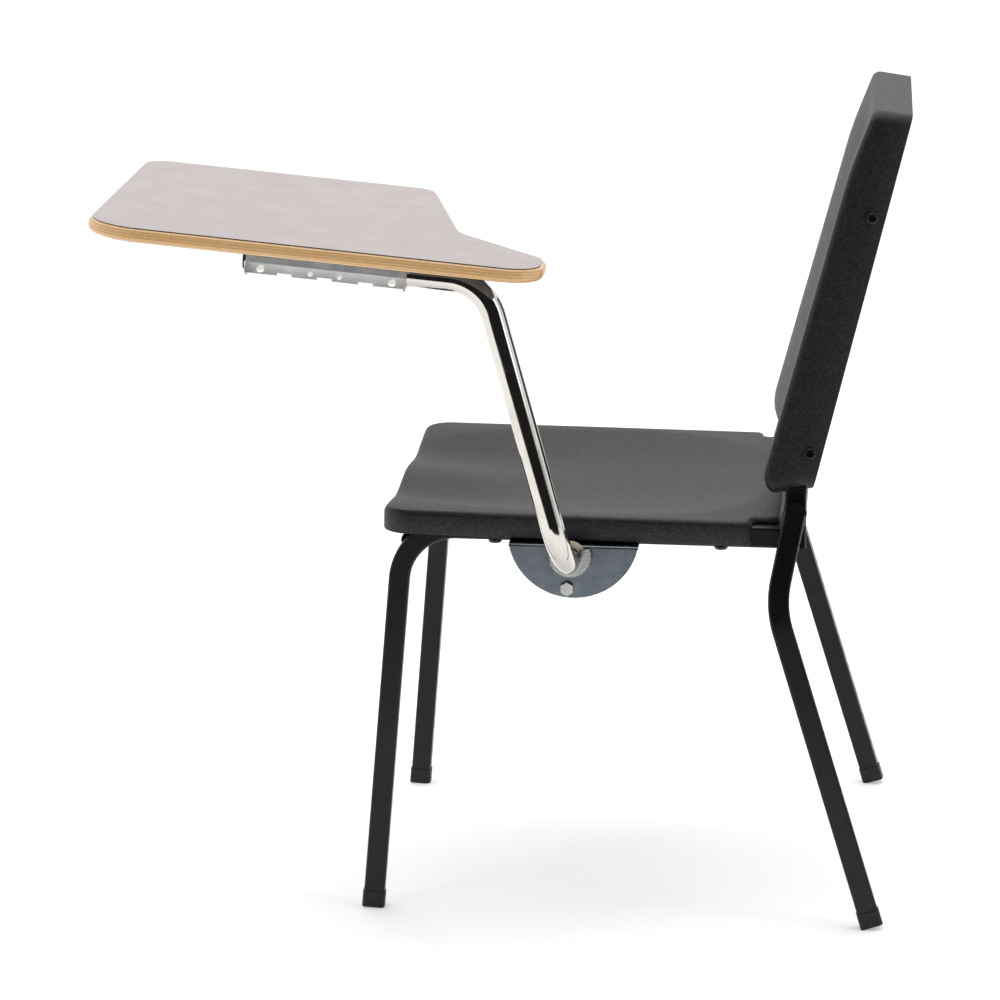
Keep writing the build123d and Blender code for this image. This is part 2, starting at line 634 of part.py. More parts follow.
# ---- tablet ----
tablet_outline = rounded_polygon(TABLET_OUTLINE)
core_base = BRACKET_TOP + BACKER_T
core = extrude(Pos(0, 0, core_base) * tablet_outline, amount=CORE_T)
core = fillet(core.faces().sort_by(Axis.Z)[0].edges(), CORE_ROUND)
core = fillet(core.faces().sort_by(Axis.Z)[-1].edges(), CORE_ROUND)
sheet = offset(tablet_outline, -LAMINATE_INSET)
back_sheet = offset(tablet_outline, -CORE_ROUND - 0.5)
laminate = extrude(Pos(0, 0, core_base + CORE_T) * sheet, amount=LAMINATE_T)
backer = extrude(Pos(0, 0, BRACKET_TOP) * back_sheet, amount=BACKER_T)
wood_screws = []
for x, s in TABLET_SCREWS:
    screw = dome_screw(2.1, 12.2, 4.2, 2.4, 1.6)
    wood_screws.append(screw.moved(hinge * Location((ARM_X + x, s, wall_top), (180, 0, 0))))
    hole = Pos(ARM_X + x, s, wall_top + 6.2) * Cylinder(2.15, 12.8)
    core -= hole
    backer -= hole
parts["tablet_core"] = core.moved(hinge)
parts["tablet_laminate"] = laminate.moved(hinge)
parts["tablet_backer"] = backer.moved(hinge)
parts["tablet_screws"] = Compound(children=wood_screws)

os.makedirs("parts", exist_ok=True)
for name, shape in parts.items():
    export_step(shape, f"parts/{name}.step")
print(len(parts), "nodes")
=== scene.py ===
import json
from math import atan2, cos, exp, pi, radians, sin, tan

import bpy
from mathutils import Matrix, Vector, noise


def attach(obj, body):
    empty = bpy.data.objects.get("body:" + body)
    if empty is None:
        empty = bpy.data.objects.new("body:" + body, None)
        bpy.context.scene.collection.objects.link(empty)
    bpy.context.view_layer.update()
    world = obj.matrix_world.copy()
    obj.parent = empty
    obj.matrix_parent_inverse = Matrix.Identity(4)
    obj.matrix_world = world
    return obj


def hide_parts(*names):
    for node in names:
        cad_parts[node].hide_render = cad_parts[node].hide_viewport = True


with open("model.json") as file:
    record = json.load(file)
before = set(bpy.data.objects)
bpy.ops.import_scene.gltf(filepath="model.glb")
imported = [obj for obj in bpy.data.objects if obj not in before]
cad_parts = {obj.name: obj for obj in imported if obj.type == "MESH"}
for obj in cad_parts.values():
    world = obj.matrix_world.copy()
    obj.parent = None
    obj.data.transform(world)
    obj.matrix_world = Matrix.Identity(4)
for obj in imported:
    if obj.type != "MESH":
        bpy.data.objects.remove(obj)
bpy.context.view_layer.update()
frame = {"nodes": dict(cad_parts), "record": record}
nodes = frame["nodes"]

# The origin is on the floor, this far behind the front feet. All sizes are in metres.
FRONT = 0.2665
# The tablet slopes by PITCH. HINGE is a point on the arm's upper run.
# TABLET_UP is square to the tablet, and the ply and laminate heights are along it from HINGE.
PITCH = radians(5.75)
HINGE = Vector((0.0, 0.0003 - FRONT, 0.7063))
TABLET_UP = Vector((0, sin(PITCH), cos(PITCH)))
PLY_BOTTOM = 0.0165
PLY_THICK = 0.0015
LAMINATE_FACE = (0.03058, 0.03072)

SHELL_PLASTIC = "black_shell_plastic"


# ---------------------------------------------------------------- materials
def feed(tree, socket, value):
    """Link a socket into this one, or set its value."""
    if isinstance(value, bpy.types.NodeSocket):
        tree.links.new(value, socket)
    else:
        socket.default_value = value


def add(tree, kind, **inputs):
    """New shader node with its inputs set, or linked when given a socket."""
    made = tree.nodes.new(kind)
    for key, value in inputs.items():
        feed(tree, made.inputs[key.replace("_", " ")], value)
    return made


def coordinates(tree, stretch=(1, 1, 1)):
    place = add(tree, "ShaderNodeTexCoord").outputs["Object"]
    return add(tree, "ShaderNodeMapping", Vector=place, Scale=stretch).outputs["Vector"]


def noise_of(tree, scale, detail=3.0, stretch=(1, 1, 1), rough=0.5):
    place = coordinates(tree, stretch)
    made = add(tree, "ShaderNodeTexNoise", Vector=place, Scale=scale, Detail=detail, Roughness=rough)
    return made.outputs["Fac"]


def cells_of(tree, scale, feature="F1"):
    made = add(tree, "ShaderNodeTexVoronoi", Vector=coordinates(tree), Scale=scale)
    made.feature = feature
    return made


def spread(tree, value, low, high, out_low=0.0, out_high=1.0):
    """Map low..high of a value on to out_low..out_high, clamped."""
    ends = {"From_Min": low, "From_Max": high, "To_Min": out_low, "To_Max": out_high}
    return add(tree, "ShaderNodeMapRange", Value=value, **ends).outputs["Result"]


def blend_colour(tree, factor, a, b):
    made = tree.nodes.new("ShaderNodeMix")
    made.data_type = "RGBA"
    # The mix node's colour version uses inputs 0, 6 and 7, and output 2.
    for index, value in ((0, factor), (6, a), (7, b)):
        feed(tree, made.inputs[index], (*value, 1) if isinstance(value, tuple) else value)
    return made.outputs[2]


def calc(tree, operation, a, b=0.0):
    made = tree.nodes.new("ShaderNodeMath")
    made.operation = operation
    for socket, value in zip(made.inputs, (a, b)):
        feed(tree, socket, value)
    return made.outputs[0]


def new_material(name, metallic=0.0, coat=0.0, coat_roughness=0.1, specular=0.5):
    made = bpy.data.materials.new(name)
    made.use_nodes = True
    shader = made.node_tree.nodes["Principled BSDF"]
    shader.inputs["Metallic"].default_value = metallic
    shader.inputs["Coat Weight"].default_value = coat
    shader.inputs["Coat Roughness"].default_value = coat_roughness
    shader.inputs["Specular IOR Level"].default_value = specular
    return made, made.node_tree, shader


def drive(tree, shader, colour, roughness, height, strength, distance):
    """Link colour, roughness and bump into the shader."""
    tree.links.new(colour, shader.inputs["Base Color"])
    tree.links.new(roughness, shader.inputs["Roughness"])
    bump = add(tree, "ShaderNodeBump", Height=height, Strength=strength, Distance=distance)
    tree.links.new(bump.outputs["Normal"], shader.inputs["Normal"])


def powder_coat():
    made, tree, shader = new_material("black_powder_coat", specular=0.3)
    patch = noise_of(tree, 12, 3)
    share = spread(tree, patch, 0.35, 0.7)
    colour = blend_colour(tree, share, (0.004, 0.004, 0.0045), (0.0065, 0.0065, 0.007))
    peel = noise_of(tree, 900, 2)
    rough = spread(tree, noise_of(tree, 60, 5), 0.3, 0.7, 0.24, 0.36)
    drive(tree, shader, colour, rough, peel, 0.12, 0.00015)
    return made


def moulded(name, dark, light, grain=520.0, rough=(0.50, 0.56), strength=0.5):
    """Black moulding with a fine pebbled texture and a slight cloudiness."""
    made, tree, shader = new_material(name, specular=0.38)
    bloom = spread(tree, noise_of(tree, 5, 3, rough=0.5), 0.2, 0.9)
    fleck = spread(tree, noise_of(tree, 480, 2), 0.44, 0.62)
    speckle = calc(tree, "ADD", calc(tree, "MULTIPLY", bloom, 0.12), calc(tree, "MULTIPLY", fleck, 0.88))
    colour = blend_colour(tree, speckle, dark, light)
    pebble = cells_of(tree, grain, "SMOOTH_F1").outputs["Distance"]
    fine = noise_of(tree, grain * 2.6, 2)
    height = calc(tree, "ADD", pebble, calc(tree, "MULTIPLY", fine, 0.5))
    roughness = spread(tree, noise_of(tree, 160, 4), 0.3, 0.7, *rough)
    drive(tree, shader, colour, roughness, height, strength, 0.0007)
    return made


def plated(name, base, tint, rough, spangle=0.0, grain=240.0):
    """Zinc plate: faint spangle, fine handling scratches and a cloudy shine."""
    made, tree, shader = new_material(name, metallic=1.0)
    cloud = noise_of(tree, 34, 5, rough=0.65)
    mixed = blend_colour(tree, spread(tree, cloud, 0.3, 0.7), base, tint)
    if spangle:
        cell = cells_of(tree, 95).outputs["Color"]
        step = add(tree, "ShaderNodeSeparateColor", Color=cell).outputs[0]
        shade = tuple(0.6 * c for c in base)
        mixed = blend_colour(tree, calc(tree, "MULTIPLY", step, spangle), mixed, shade)
    scratch = noise_of(tree, grain, 3, (0.12, 1, 2.4))
    roughness = spread(tree, calc(tree, "ADD", cloud, scratch), 0.7, 1.3, *rough)
    drive(tree, shader, mixed, roughness, scratch, 0.08, 0.0002)
    return made


def chrome():
    made, tree, shader = new_material("chrome_tube", metallic=1.0)
    smudge = spread(tree, noise_of(tree, 22, 5, rough=0.6), 0.42, 0.72)
    colour = blend_colour(tree, smudge, (0.66, 0.63, 0.59), (0.55, 0.52, 0.48))
    roughness = spread(tree, noise_of(tree, 48, 6), 0.4, 0.75, 0.07, 0.15)
    drive(tree, shader, colour, roughness, noise_of(tree, 300, 2), 0.012, 0.0001)
    return made


def tablet_depth(tree):
    """Distance above the arm's axis, square to the tablet, as a shader value."""
    place = add(tree, "ShaderNodeTexCoord").outputs["Object"]
    made = tree.nodes.new("ShaderNodeVectorMath")
    made.operation = "DOT_PRODUCT"
    feed(tree, made.inputs[0], place)
    feed(tree, made.inputs[1], TABLET_UP)
    return calc(tree, "SUBTRACT", made.outputs["Value"], HINGE.dot(TABLET_UP))


def plywood():
    """Clear-finished beech plies: long grain and end grain by turns, with thin glue lines."""
    made, tree, shader = new_material("plywood", coat=0.35, coat_roughness=0.22)
    depth = tablet_depth(tree)
    waver = calc(tree, "MULTIPLY", calc(tree, "SUBTRACT", noise_of(tree, 9, 2), 0.5), 0.0003)
    height = calc(tree, "ADD", calc(tree, "SUBTRACT", depth, PLY_BOTTOM), waver)
    layer = calc(tree, "DIVIDE", height, PLY_THICK)
    turn = calc(tree, "MODULO", layer, 2.0)
    end_grain = spread(tree, turn, 0.97, 1.03)
    line = calc(tree, "ABSOLUTE", calc(tree, "SUBTRACT", calc(tree, "FRACT", layer), 0.5))
    glue = spread(tree, line, 0.44, 0.5)
    fibre = noise_of(tree, 70, 6, (0.35, 6.0, 6.0), 0.65)
    pore = noise_of(tree, 420, 3, (0.5, 2.0, 3.0))
    pale = blend_colour(tree, spread(tree, fibre, 0.3, 0.7), (0.64, 0.37, 0.145), (0.80, 0.53, 0.25))
    deep = blend_colour(tree, spread(tree, pore, 0.35, 0.65), (0.52, 0.285, 0.11), (0.66, 0.39, 0.17))
    wood = blend_colour(tree, end_grain, pale, deep)
    colour = blend_colour(tree, calc(tree, "MULTIPLY", glue, 0.4), wood, (0.20, 0.095, 0.035))
    roughness = spread(tree, fibre, 0.3, 0.7, 0.34, 0.46)
    drive(tree, shader, colour, roughness, calc(tree, "ADD", fibre, end_grain), 0.12, 0.0002)
    return made


def laminate():
    """Pale grey decorative laminate with a soft speckle, and its dark core at the edge."""
    made, tree, shader = new_material("grey_laminate", coat=0.1, coat_roughness=0.3)
    depth = tablet_depth(tree)
    drift = noise_of(tree, 400, 4, rough=0.7)
    fleck = cells_of(tree, 900).outputs["Distance"]
    base = blend_colour(tree, spread(tree, drift, 0.3, 0.7), (0.365, 0.312, 0.300), (0.41, 0.355, 0.342))
    speckled = blend_colour(tree, spread(tree, fleck, 0.05, 0.3, 0.55, 0.0), base, (0.36, 0.32, 0.32))
    edge = spread(tree, depth, *LAMINATE_FACE, 1.0, 0.0)
    colour = blend_colour(tree, edge, speckled, (0.03, 0.02, 0.016))
    roughness = spread(tree, noise_of(tree, 30, 4), 0.3, 0.7, 0.34, 0.44)
    drive(tree, shader, colour, roughness, noise_of(tree, 1500, 2), 0.1, 0.0001)
    return made


def simple_speckle(name, dark, light, rough, grain):
    """Two close shades in a fine mottle, with a slightly uneven shine and surface."""
    made, tree, shader = new_material(name)
    colour = blend_colour(tree, spread(tree, noise_of(tree, grain * 0.1, 5), 0.3, 0.7), dark, light)
    roughness = spread(tree, noise_of(tree, grain * 0.2, 4), 0.3, 0.7, *rough)
    drive(tree, shader, colour, roughness, noise_of(tree, grain, 3), 0.25, 0.0002)
    return made


finishes = {
    "black_powder_coat": powder_coat(),
    "black_cap_plastic": moulded(
        "black_cap_plastic", (0.005, 0.005, 0.0055), (0.010, 0.010, 0.0105), 900, (0.42, 0.55), 0.2
    ),
    SHELL_PLASTIC: moulded(SHELL_PLASTIC, (0.0045, 0.0045, 0.005), (0.019, 0.019, 0.0202), 380.0),
    "black_screw": simple_speckle(
        "black_screw", (0.004, 0.004, 0.0045), (0.008, 0.008, 0.008), (0.10, 0.18), 500
    ),
    "zinc_sheet": plated("zinc_sheet", (0.80, 0.82, 0.83), (0.93, 0.93, 0.91), (0.34, 0.5), 0.15),
    "zinc_hardware": plated("zinc_hardware", (0.66, 0.66, 0.64), (0.80, 0.79, 0.75), (0.16, 0.30)),
    "nylon": simple_speckle("nylon", (0.62, 0.56, 0.42), (0.74, 0.69, 0.56), (0.4, 0.5), 500),
    "chrome_tube": chrome(),
    "plywood": plywood(),
    "grey_laminate": laminate(),
    "backing_sheet": simple_speckle(
        "backing_sheet", (0.05, 0.04, 0.035), (0.10, 0.085, 0.075), (0.5, 0.6), 800
    ),
}
# Darker copy of zinc_sheet for the pivot bracket. The darker base colour is painted shade for the shade
# under the seat's skirt. The bracket is the same zinc as the tablet bracket.
pivot_zinc_painted_shade = plated("pivot_zinc_painted_shade", (0.19, 0.22, 0.25), (0.27, 0.30, 0.34), (0.26, 0.40), 0.35, 300.0)
# The weld beads' shape is real. Their grey, lighter than the powder coat they lie under, is a painted
# highlight along the welds.
weld_painted_highlight = simple_speckle(
    "black_weld_painted_highlight", (0.010, 0.010, 0.012), (0.024, 0.024, 0.026), (0.28, 0.42), 500
)

for part in frame["record"]["subparts"]:
    obj = nodes[part["node"]]
    obj.data.materials.clear()
    obj.data.materials.append(finishes[part["material_slot"]])

# The pivot bracket gets the painted-shade copy of its zinc.
nodes["pivot_bracket"].data.materials[0] = pivot_zinc_painted_shade


# ---------------------------------------------------------------- mesh helpers
RIM_STEPS = 7
LIP_RISE = 0.0011
LIP_INSET = 0.0009


def piece(name, vertices, faces, finish, body, smooth=True):
    """Visible mesh object on one body, in the finish it is given."""
    mesh = bpy.data.meshes.new(name)
    mesh.from_pydata([tuple(v) for v in vertices], [], faces)
    mesh.validate()
    made = bpy.data.objects.new(name, mesh)
    bpy.context.scene.collection.objects.link(made)
    mesh.materials.append(finish)
    mesh.polygons.foreach_set("use_smooth", [smooth] * len(mesh.polygons))
    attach(made, body)
    return made


def moulding(name, place, vertices, faces, smooth=True):
    """Piece of the chair's black plastic, carried from its own axes to the chair by place."""
    placed = [place(v) for v in vertices]
    return piece(name, placed, faces, finishes[SHELL_PLASTIC], "chair", smooth)


def rounded_outline(corners, spacing=0.004, arc=10):
    """Closed outline from (x, y, radius) corners, anticlockwise, evenly spaced."""
    path = []
    count = len(corners)
    for i, (x, y, radius) in enumerate(corners):
        here = Vector((x, y))
        before = (Vector(corners[i - 1][:2]) - here).normalized()
        after = (Vector(corners[(i + 1) % count][:2]) - here).normalized()
        half = before.angle(after) / 2
        reach = radius / tan(half)
        centre = here + (before + after).normalized() * (radius / sin(half))
        start = here + before * reach - centre
        sweep = start.angle_signed(here + after * reach - centre)
        for k in range(arc + 1):
            path.append(centre + Matrix.Rotation(-sweep * k / arc, 2) @ start)
    lengths = [(path[(i + 1) % len(path)] - p).length for i, p in enumerate(path)]
    total = sum(lengths)
    number = int(total / spacing)
    out = []
    walked = 0.0
    i = 0
    for k in range(number):
        want = total * k / number
        while walked + lengths[i] < want:
            walked += lengths[i]
            i += 1
        step = (want - walked) / lengths[i] if lengths[i] else 0.0
        out.append(path[i].lerp(path[(i + 1) % len(path)], step))
    return out


def drawn_in(outline, distance):
    """The outline moved inward by a distance."""
    count = len(outline)
    out = []
    for i, p in enumerate(outline):
        along = (outline[(i + 1) % count] - outline[i - 1]).normalized()
        out.append(p + Vector((-along.y, along.x)) * distance)
    return out


def shell_mesh(outline, centre, edge, wall, depth, height, steps=34):
    """Rings of a moulded shell: face, rounded rim, skirt, lower edge and the inside again."""
    rim = drawn_in(outline, edge)
    inner = drawn_in(outline, wall + edge * 0.6)

    def on_face(ring, level, share=1.0):
        """Ring at a level, following a share of the face's relief."""
        return [Vector((p.x, p.y, level + share * height(p.x, p.y))) for p in ring]

    def on_lip(inset, lift):
        """Ring at the skirt's lower edge."""
        return [Vector((p.x, p.y, lift - depth(p.y))) for p in drawn_in(outline, inset)]

    rows = []
    for i in range(1, steps + 1):
        rows.append(on_face([centre.lerp(q, i / steps) for q in rim], 0.0))
    for k in range(1, RIM_STEPS + 1):
        turn = pi / 2 * k / RIM_STEPS
        rows.append(on_face(drawn_in(outline, edge * (1 - sin(turn))), -edge * (1 - cos(turn))))
    rows.append(on_face(outline, -edge * 1.6, 0.8))
    rows.append(on_lip(0.0, LIP_RISE))
    rows.append(on_lip(LIP_INSET, 0.0))
    rows.append(on_lip(wall - LIP_INSET, 0.0))
    rows.append(on_lip(wall, LIP_RISE))
    rows.append(on_face(drawn_in(outline, wall), -edge - wall))
    rows.append(on_face(inner, -wall))
    for i in range(steps - 1, 0, -1):
        rows.append(on_face([centre.lerp(q, i / steps) for q in inner], -wall))
    vertices = [vertex for row in rows for vertex in row]
    faces = []
    count = len(outline)
    for r in range(len(rows) - 1):
        for k in range(count):
            a, b = r * count + k, r * count + (k + 1) % count
            faces.append((a, b, b + count, a + count))
    for row, z, flip in ((0, 0.0, True), (len(rows) - 1, -wall, False)):
        hub = len(vertices)
        vertices.append(Vector((centre.x, centre.y, z + height(centre.x, centre.y))))
        for k in range(count):
            a, b = row * count + k, row * count + (k + 1) % count
            faces.append((b, a, hub) if flip else (a, b, hub))
    return vertices, faces


def smooth_step(value, low, high):
    """0 below low, 1 above high, and an S-curve between."""
    t = min(max((value - low) / (high - low), 0.0), 1.0)
    return t * t * (3 - 2 * t)


def joined(parts):
    """Vertices and faces of several meshes as one."""
    vertices = []
    faces = []
    for vs, fs in parts:
        faces += [tuple(i + len(vertices) for i in f) for f in fs]
        vertices += vs
    return vertices, faces


def rib(a, b, thick, low, roof, pieces=40):
    """Thin wall from a to b whose upper edge is let into the face above it."""
    start = Vector(a)
    end = Vector(b)
    aside = (end - start).normalized().orthogonal() * thick / 2
    # The section, from one side of the wall to the other, has small bevels along its lower edge.
    bevel = low + 0.0004
    vertices = []
    faces = []
    for k in range(pieces + 1):
        p = start.lerp(end, k / pieces)
        high = roof(p.x, p.y)
        for side, z in ((1, high), (1, bevel), (0.6, low), (-0.6, low), (-1, bevel), (-1, high)):
            vertices.append(Vector((p.x + aside.x * side, p.y + aside.y * side, z)))
    for k in range(pieces):
        for j in range(6):
            a0 = 6 * k + j
            b0 = 6 * k + (j + 1) % 6
            faces.append((a0, a0 + 6, b0 + 6, b0))
    faces.append(tuple(range(6)))
    faces.append(tuple(reversed(range(6 * pieces, 6 * pieces + 6))))
    return vertices, faces


# ---------------------------------------------------------------- seat
# The seat has its own axes: x across, y from its front edge to the rear, z up from its flat face.
SEAT_ORIGIN = Vector((0, 0.014 - FRONT, 0.4365))
SEAT_TILT = -atan2(0.022, 1.0)
SEAT_HALF = 0.226
SEAT_REAR_HALF = 0.203
SEAT_SHOULDER = 0.389
SEAT_DEEP = 0.420
SEAT_EDGE = 0.0062
SEAT_WALL = 0.0034
SEAT_SKIRT = 0.0255
SEAT_MIDDLE = Vector((0, 0.215))
BUCKET_Y = 0.225
BUCKET_DEEP = 0.0135
THIGH_X = 0.105
THIGH_DEEP = 0.0085
POMMEL_TALL = 0.0012
seat_outline = rounded_outline(
    (
        (-SEAT_HALF, 0.0, 0.030),
        (SEAT_HALF, 0.0, 0.030),
        (SEAT_HALF, SEAT_SHOULDER, 0.0075),
        (SEAT_REAR_HALF, SEAT_SHOULDER, 0.007),
        (SEAT_REAR_HALF, SEAT_DEEP, 0.010),
        (-SEAT_REAR_HALF, SEAT_DEEP, 0.010),
        (-SEAT_REAR_HALF, SEAT_SHOULDER, 0.007),
        (-SEAT_HALF, SEAT_SHOULDER, 0.0075),
    )
)


def seat_height(x, y):
    """Bucket towards the rear, two thigh hollows at the front and a pommel between them."""
    half_length = 0.178 if y > BUCKET_Y else 0.26
    reach = abs(x / 0.208) ** 2.6 + abs((y - BUCKET_Y) / half_length) ** 2.6
    bucket = -BUCKET_DEEP * max(0.0, 1.0 - reach) ** 1.15
    fade = 1.0 - smooth_step(y, 0.03, 0.23)
    thighs = sum(-THIGH_DEEP * exp(-(((x - c) / 0.066) ** 2)) for c in (-THIGH_X, THIGH_X)) * fade
    pommel = POMMEL_TALL * exp(-((x / 0.04) ** 2)) * fade
    return bucket + thighs + pommel


def seat_place(v):
    return SEAT_ORIGIN + Matrix.Rotation(SEAT_TILT, 3, "X") @ v


def seat_skirt(y):
    """The skirt is one depth all round."""
    return SEAT_SKIRT


vertices, faces = shell_mesh(seat_outline, SEAT_MIDDLE, SEAT_EDGE, SEAT_WALL, seat_skirt, seat_height)
seat = moulding("seat_moulding", seat_place, vertices, faces)
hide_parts("seat_shell")


def seat_roof(x, y):
    """Where a rib under the seat is let into the seat's wall."""
    return seat_height(x, y) - 0.0026


def screw_cup(x, y, low):
    """Round wall about a seat screw."""
    ring = [(cos(2 * pi * k / CUP_SIDES), sin(2 * pi * k / CUP_SIDES)) for k in range(CUP_SIDES)]
    wall = [Vector((x + CUP_R * c, y + CUP_R * s, z)) for z in (low, CUP_TOP) for c, s in ring]
    around = [(k, (k + 1) % CUP_SIDES) for k in range(CUP_SIDES)]
    return wall, [(a, b, CUP_SIDES + b, CUP_SIDES + a) for a, b in around]


SEAT_RIB_THICK = 0.0022
SEAT_RIB_LOW = -0.0235
CUP_X = 0.2125
CUP_R = 0.0062
CUP_TOP = -0.0030
CUP_SIDES = 24
ribs = []
for x in (-0.15, -0.09, -0.03, 0.03, 0.09, 0.15):
    ribs.append(rib((x, 0.02), (x, 0.40), SEAT_RIB_THICK, SEAT_RIB_LOW, seat_roof))
for y in (0.05, 0.12, 0.19, 0.26, 0.33):
    ribs.append(rib((-0.19, y), (0.19, y), SEAT_RIB_THICK, SEAT_RIB_LOW, seat_roof))
for x in (-CUP_X, CUP_X):
    for y, low in ((0.119, -0.0098), (0.356, -0.0068)):
        ribs.append(screw_cup(x, y, low))
moulding("seat_ribs", seat_place, *joined(ribs), smooth=False)


# ---------------------------------------------------------------- back
# The back has its own axes: x across, y up its front face from the lower edge, z forward from that face.
BACK_LOW = Vector((0, 0.4075 - FRONT, 0.4520))
BACK_RISE = Vector((0, 0.1085, 0.4010))
BACK_UP = BACK_RISE.normalized()
BACK_FRONT = Vector((0, -BACK_UP.z, BACK_UP.y))
BACK_TALL = BACK_RISE.length
BACK_LOW_HALF = 0.2170
BACK_TAPER = 0.1035
BACK_CORNER = 0.016
BACK_EDGE = 0.0065
BACK_WALL = 0.0032
BACK_SKIRT = 0.0535
BACK_SKIRT_LOSS = 0.0060
BACK_MIDDLE = Vector((0, 0.2))
HOLLOW_DEEP = 0.0125
LOW_EASE = 0.015
HIGH_EASE = 0.0085


def back_half(v):
    """Half the back's width at height v."""
    return BACK_LOW_HALF - BACK_TAPER * v


back_outline = rounded_outline(
    (
        (-back_half(0.0), 0.0, BACK_CORNER),
        (back_half(0.0), 0.0, BACK_CORNER),
        (back_half(BACK_TALL), BACK_TALL, BACK_CORNER),
        (-back_half(BACK_TALL), BACK_TALL, BACK_CORNER),
    )
)


def back_height(x, v):
    """Front face of the back: hollow across, easing away at its top and bottom edges."""
    across = min(abs(x) / back_half(v), 1.0)
    hollow = -HOLLOW_DEEP * (1 - smooth_step(across, 0.0, 0.86))
    hollow *= 1 - smooth_step(v, BACK_TALL - 0.06, BACK_TALL)
    low = -LOW_EASE * (1 - smooth_step(v, -0.01, 0.034)) ** 1.5
    high = -HIGH_EASE * smooth_step(v, BACK_TALL - 0.085, BACK_TALL + 0.03)
    return hollow + low + high


def back_place(p):
    """From the back's axes to the chair. The skirt slopes upward to the rear, most at the lower edge."""
    share = p.y / BACK_TALL
    rise = -p.z / 0.050 * (0.0215 * (1 - share) + 0.0056 * share)
    return BACK_LOW + Vector((p.x, 0, 0)) + BACK_UP * (p.y + rise) + BACK_FRONT * p.z


def back_skirt(v):
    return BACK_SKIRT - BACK_SKIRT_LOSS * v / BACK_TALL


vertices, faces = shell_mesh(back_outline, BACK_MIDDLE, BACK_EDGE, BACK_WALL, back_skirt, back_height)
back = moulding("back_moulding", back_place, vertices, faces)
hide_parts("back_shell")


def back_roof(x, v):
    """Where a rib behind the back is let into the back's wall."""
    return back_height(x, v) - 0.0024


CROSS_RIB_THICK = 0.0028
CROSS_RIB_LOW = -0.041
CROSS_RIB_GAP = 0.030
UP_RIB_THICK = 0.0024
UP_RIB_LOW = -0.034
ribs = []
for v in (0.095, 0.185, 0.280):
    wide = back_half(v) - CROSS_RIB_GAP
    ribs.append(rib((-wide, v), (wide, v), CROSS_RIB_THICK, CROSS_RIB_LOW, back_roof))
for x in (-0.115, -0.04, 0.04, 0.115):
    ribs.append(rib((x, 0.020), (x, 0.395), UP_RIB_THICK, UP_RIB_LOW, back_roof))
moulding("back_ribs", back_place, *joined(ribs), smooth=False)


# ---------------------------------------------------------------- welds
BEAD_STEP = 0.0011
BEAD_SIDES = 10


def bead(name, points, radius, seed):
    """Weld bead along a line: a lumpy, rippled run of metal under the coating."""
    path = [Vector(p) for p in points]
    fine = []
    for a, b in zip(path, path[1:]):
        count = max(2, int((b - a).length / BEAD_STEP))
        fine += [a.lerp(b, k / count) for k in range(count)]
    fine.append(path[-1])
    last = len(fine) - 1
    vertices = []
    faces = []
    for i, p in enumerate(fine):
        ahead = (fine[min(i + 1, last)] - fine[max(i - 1, 0)]).normalized()
        across = ahead.orthogonal() if abs(ahead.x) > 0.9 else ahead.cross(Vector((1, 0, 0)))
        side = across.normalized()
        other = ahead.cross(side)
        ripple = 1 + 0.13 * sin(i * 1.5) + 0.22 * noise.noise(p * 160 + Vector((seed, 0, 0)))
        taper = min(1.0, 0.35 + 0.25 * min(i, last - i))
        for k in range(BEAD_SIDES):
            turn = 2 * pi * k / BEAD_SIDES
            vertices.append(p + (side * cos(turn) + other * sin(turn)) * radius * ripple * taper)
    for i in range(last):
        for k in range(BEAD_SIDES):
            a = i * BEAD_SIDES + k
            b = i * BEAD_SIDES + (k + 1) % BEAD_SIDES
            faces.append((a, b, b + BEAD_SIDES, a + BEAD_SIDES))
    faces.append(tuple(reversed(range(BEAD_SIDES))))
    faces.append(tuple(range(len(vertices) - BEAD_SIDES, len(vertices))))
    # The bead's lighter grey is a painted highlight.
    piece(name, vertices, faces, weld_painted_highlight, "chair")


# Round the end of each side rail, where it meets the upright.
RAIL_WELD_Y = 0.4363 - FRONT
RAIL_WELD_LOW = 0.3990
RAIL_WELD_HIGH = 0.4213
RAIL_WELD_INNER = 0.2048
RAIL_WELD_OUTER = 0.2200
RAIL_WELD_R = 0.0021
# Up both edges of each rear leg, which leans back by LEG_LEAN where it meets the upright.
LEG_WELD_R = 0.0023
LEG_WELD_X = 0.2192
LEG_WELD_HIGH = 0.440
LEG_POINT_Y = 0.4282 - FRONT
LEG_POINT_Z = 0.3448
LEG_LEAN = 0.2006
LEG_HALF = 0.0108

for side, label in ((1, "left"), (-1, "right")):
    inner = RAIL_WELD_INNER * side
    outer = RAIL_WELD_OUTER * side
    corners = (
        (outer, RAIL_WELD_HIGH),
        (outer, RAIL_WELD_LOW),
        (inner, RAIL_WELD_LOW),
        (inner, RAIL_WELD_HIGH),
        (outer, RAIL_WELD_HIGH),
    )
    bead(f"weld_rail_{label}", [(x, RAIL_WELD_Y, z) for x, z in corners], RAIL_WELD_R, side)
    for number, (shift, low) in enumerate(((-LEG_HALF, 0.402), (LEG_HALF, 0.396))):
        run = []
        for k in range(5):
            z = low + (LEG_WELD_HIGH - low) * k / 4
            y = LEG_POINT_Y + (z - LEG_POINT_Z) * LEG_LEAN + shift
            run.append(((LEG_WELD_X - 0.0010 * k) * side, y, z))
        bead(f"weld_leg_{label}_{number + 1}", run, LEG_WELD_R, 3 * number + side)


# ---------------------------------------------------------------- stage
bpy.ops.mesh.primitive_plane_add(size=60, location=(0, 0, 0))
floor = bpy.context.object
floor.name = "floor"
ground, tree, shader = new_material("floor_paper", specular=0.1)
shader.inputs["Base Color"].default_value = (0.93, 0.93, 0.93, 1)
shader.inputs["Roughness"].default_value = 0.95
shader.inputs["Emission Color"].default_value = (1, 1, 1, 1)
shader.inputs["Emission Strength"].default_value = 0.32
floor.data.materials.append(ground)

flag, tree, shader = new_material("flag_cloth", specular=0.0)
shader.inputs["Base Color"].default_value = (0.012, 0.012, 0.014, 1)
shader.inputs["Roughness"].default_value = 1.0


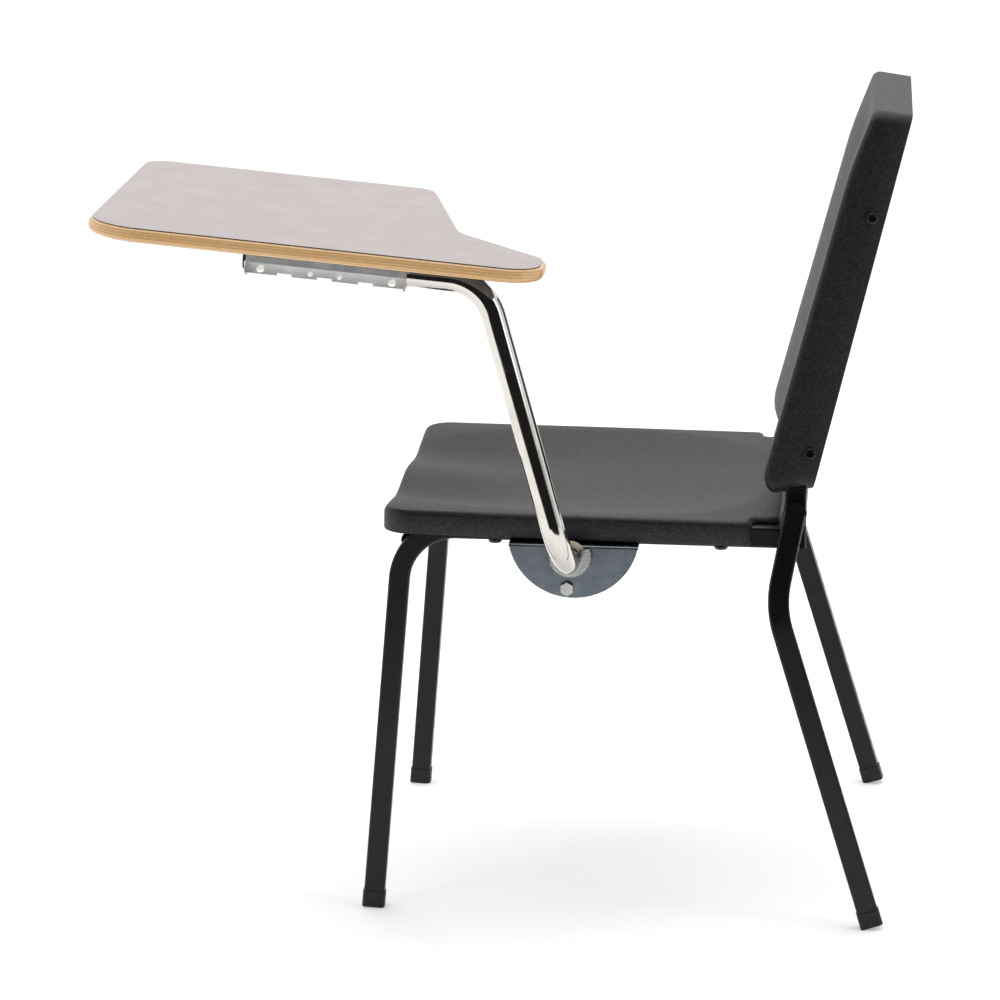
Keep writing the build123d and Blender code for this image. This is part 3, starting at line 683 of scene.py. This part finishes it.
def dark_card(name, y0, y1, x0, x1, height):
    """Black flag on the camera's side, seen only in reflections."""
    mesh = bpy.data.meshes.new(name)
    corners = [(x0, y0, 0.005), (x1, y1, 0.005), (x1, y1, height), (x0, y0, height)]
    mesh.from_pydata(corners, [], [(0, 1, 2, 3)])
    card = bpy.data.objects.new(name, mesh)
    bpy.context.scene.collection.objects.link(card)
    mesh.materials.append(flag)
    card.visible_camera = False
    card.visible_diffuse = False
    card.visible_shadow = False
    card.visible_transmission = False


dark_card("flag_camera", -1.5, 1.9, 1.7, 1.4, 1.9)

# White surroundings that fade to dark on the camera's side.
world = bpy.data.worlds.new("studio")
bpy.context.scene.world = world
world.use_nodes = True
sky = world.node_tree
direction = add(sky, "ShaderNodeTexCoord").outputs["Generated"]
sideways = add(sky, "ShaderNodeSeparateXYZ", Vector=direction).outputs["X"]
glow = spread(sky, sideways, -0.15, 0.75, 1.15, 0.10)
sky.links.new(glow, sky.nodes["Background"].inputs["Strength"])
sky.nodes["Background"].inputs["Color"].default_value = (1, 1, 1, 1)


def lamp(name, place, aim, size, power):
    """Rectangular area lamp at place, turned towards aim."""
    light = bpy.data.lights.new(name, "AREA")
    light.shape = "RECTANGLE"
    light.size, light.size_y = size
    light.energy = power
    made = bpy.data.objects.new(name, light)
    bpy.context.scene.collection.objects.link(made)
    made.location = place
    made.rotation_euler = (Vector(aim) - Vector(place)).to_track_quat("-Z", "Y").to_euler()


lamp("overhead", (-0.6, -0.2, 3.4), (0, 0, 0.4), (2.6, 2.6), 40)
lamp("camera_side", (2.6, -3.0, 2.0), (0, 0, 0.5), (0.8, 2.2), 14)
lamp("rear_side", (1.4, 3.2, 1.8), (0, 0, 0.5), (0.8, 2.0), 12)


# ---------------------------------------------------------------- camera
YAW = 0.0947
TILT = 0.2292
ROLL = -0.0077
eye = Vector((4.3082, 0.5273 - FRONT, 1.4052))
ahead = Vector((-cos(YAW) * cos(TILT), -sin(YAW) * cos(TILT), -sin(TILT)))
flat = ahead.cross(Vector((0, 0, 1))).normalized()
tall = flat.cross(ahead)
right = flat * cos(ROLL) + tall * sin(ROLL)
up = tall * cos(ROLL) - flat * sin(ROLL)
camera = bpy.data.objects.new("camera", bpy.data.cameras.new("camera"))
bpy.context.scene.collection.objects.link(camera)
turned = Matrix((right, up, -ahead)).transposed()
camera.matrix_world = Matrix.Translation(eye) @ turned.to_4x4()
camera.data.sensor_width = 36.0
camera.data.lens = 145.1
camera.data.clip_end = 200
bpy.context.scene.camera = camera
bpy.context.scene.view_settings.view_transform = "Standard"
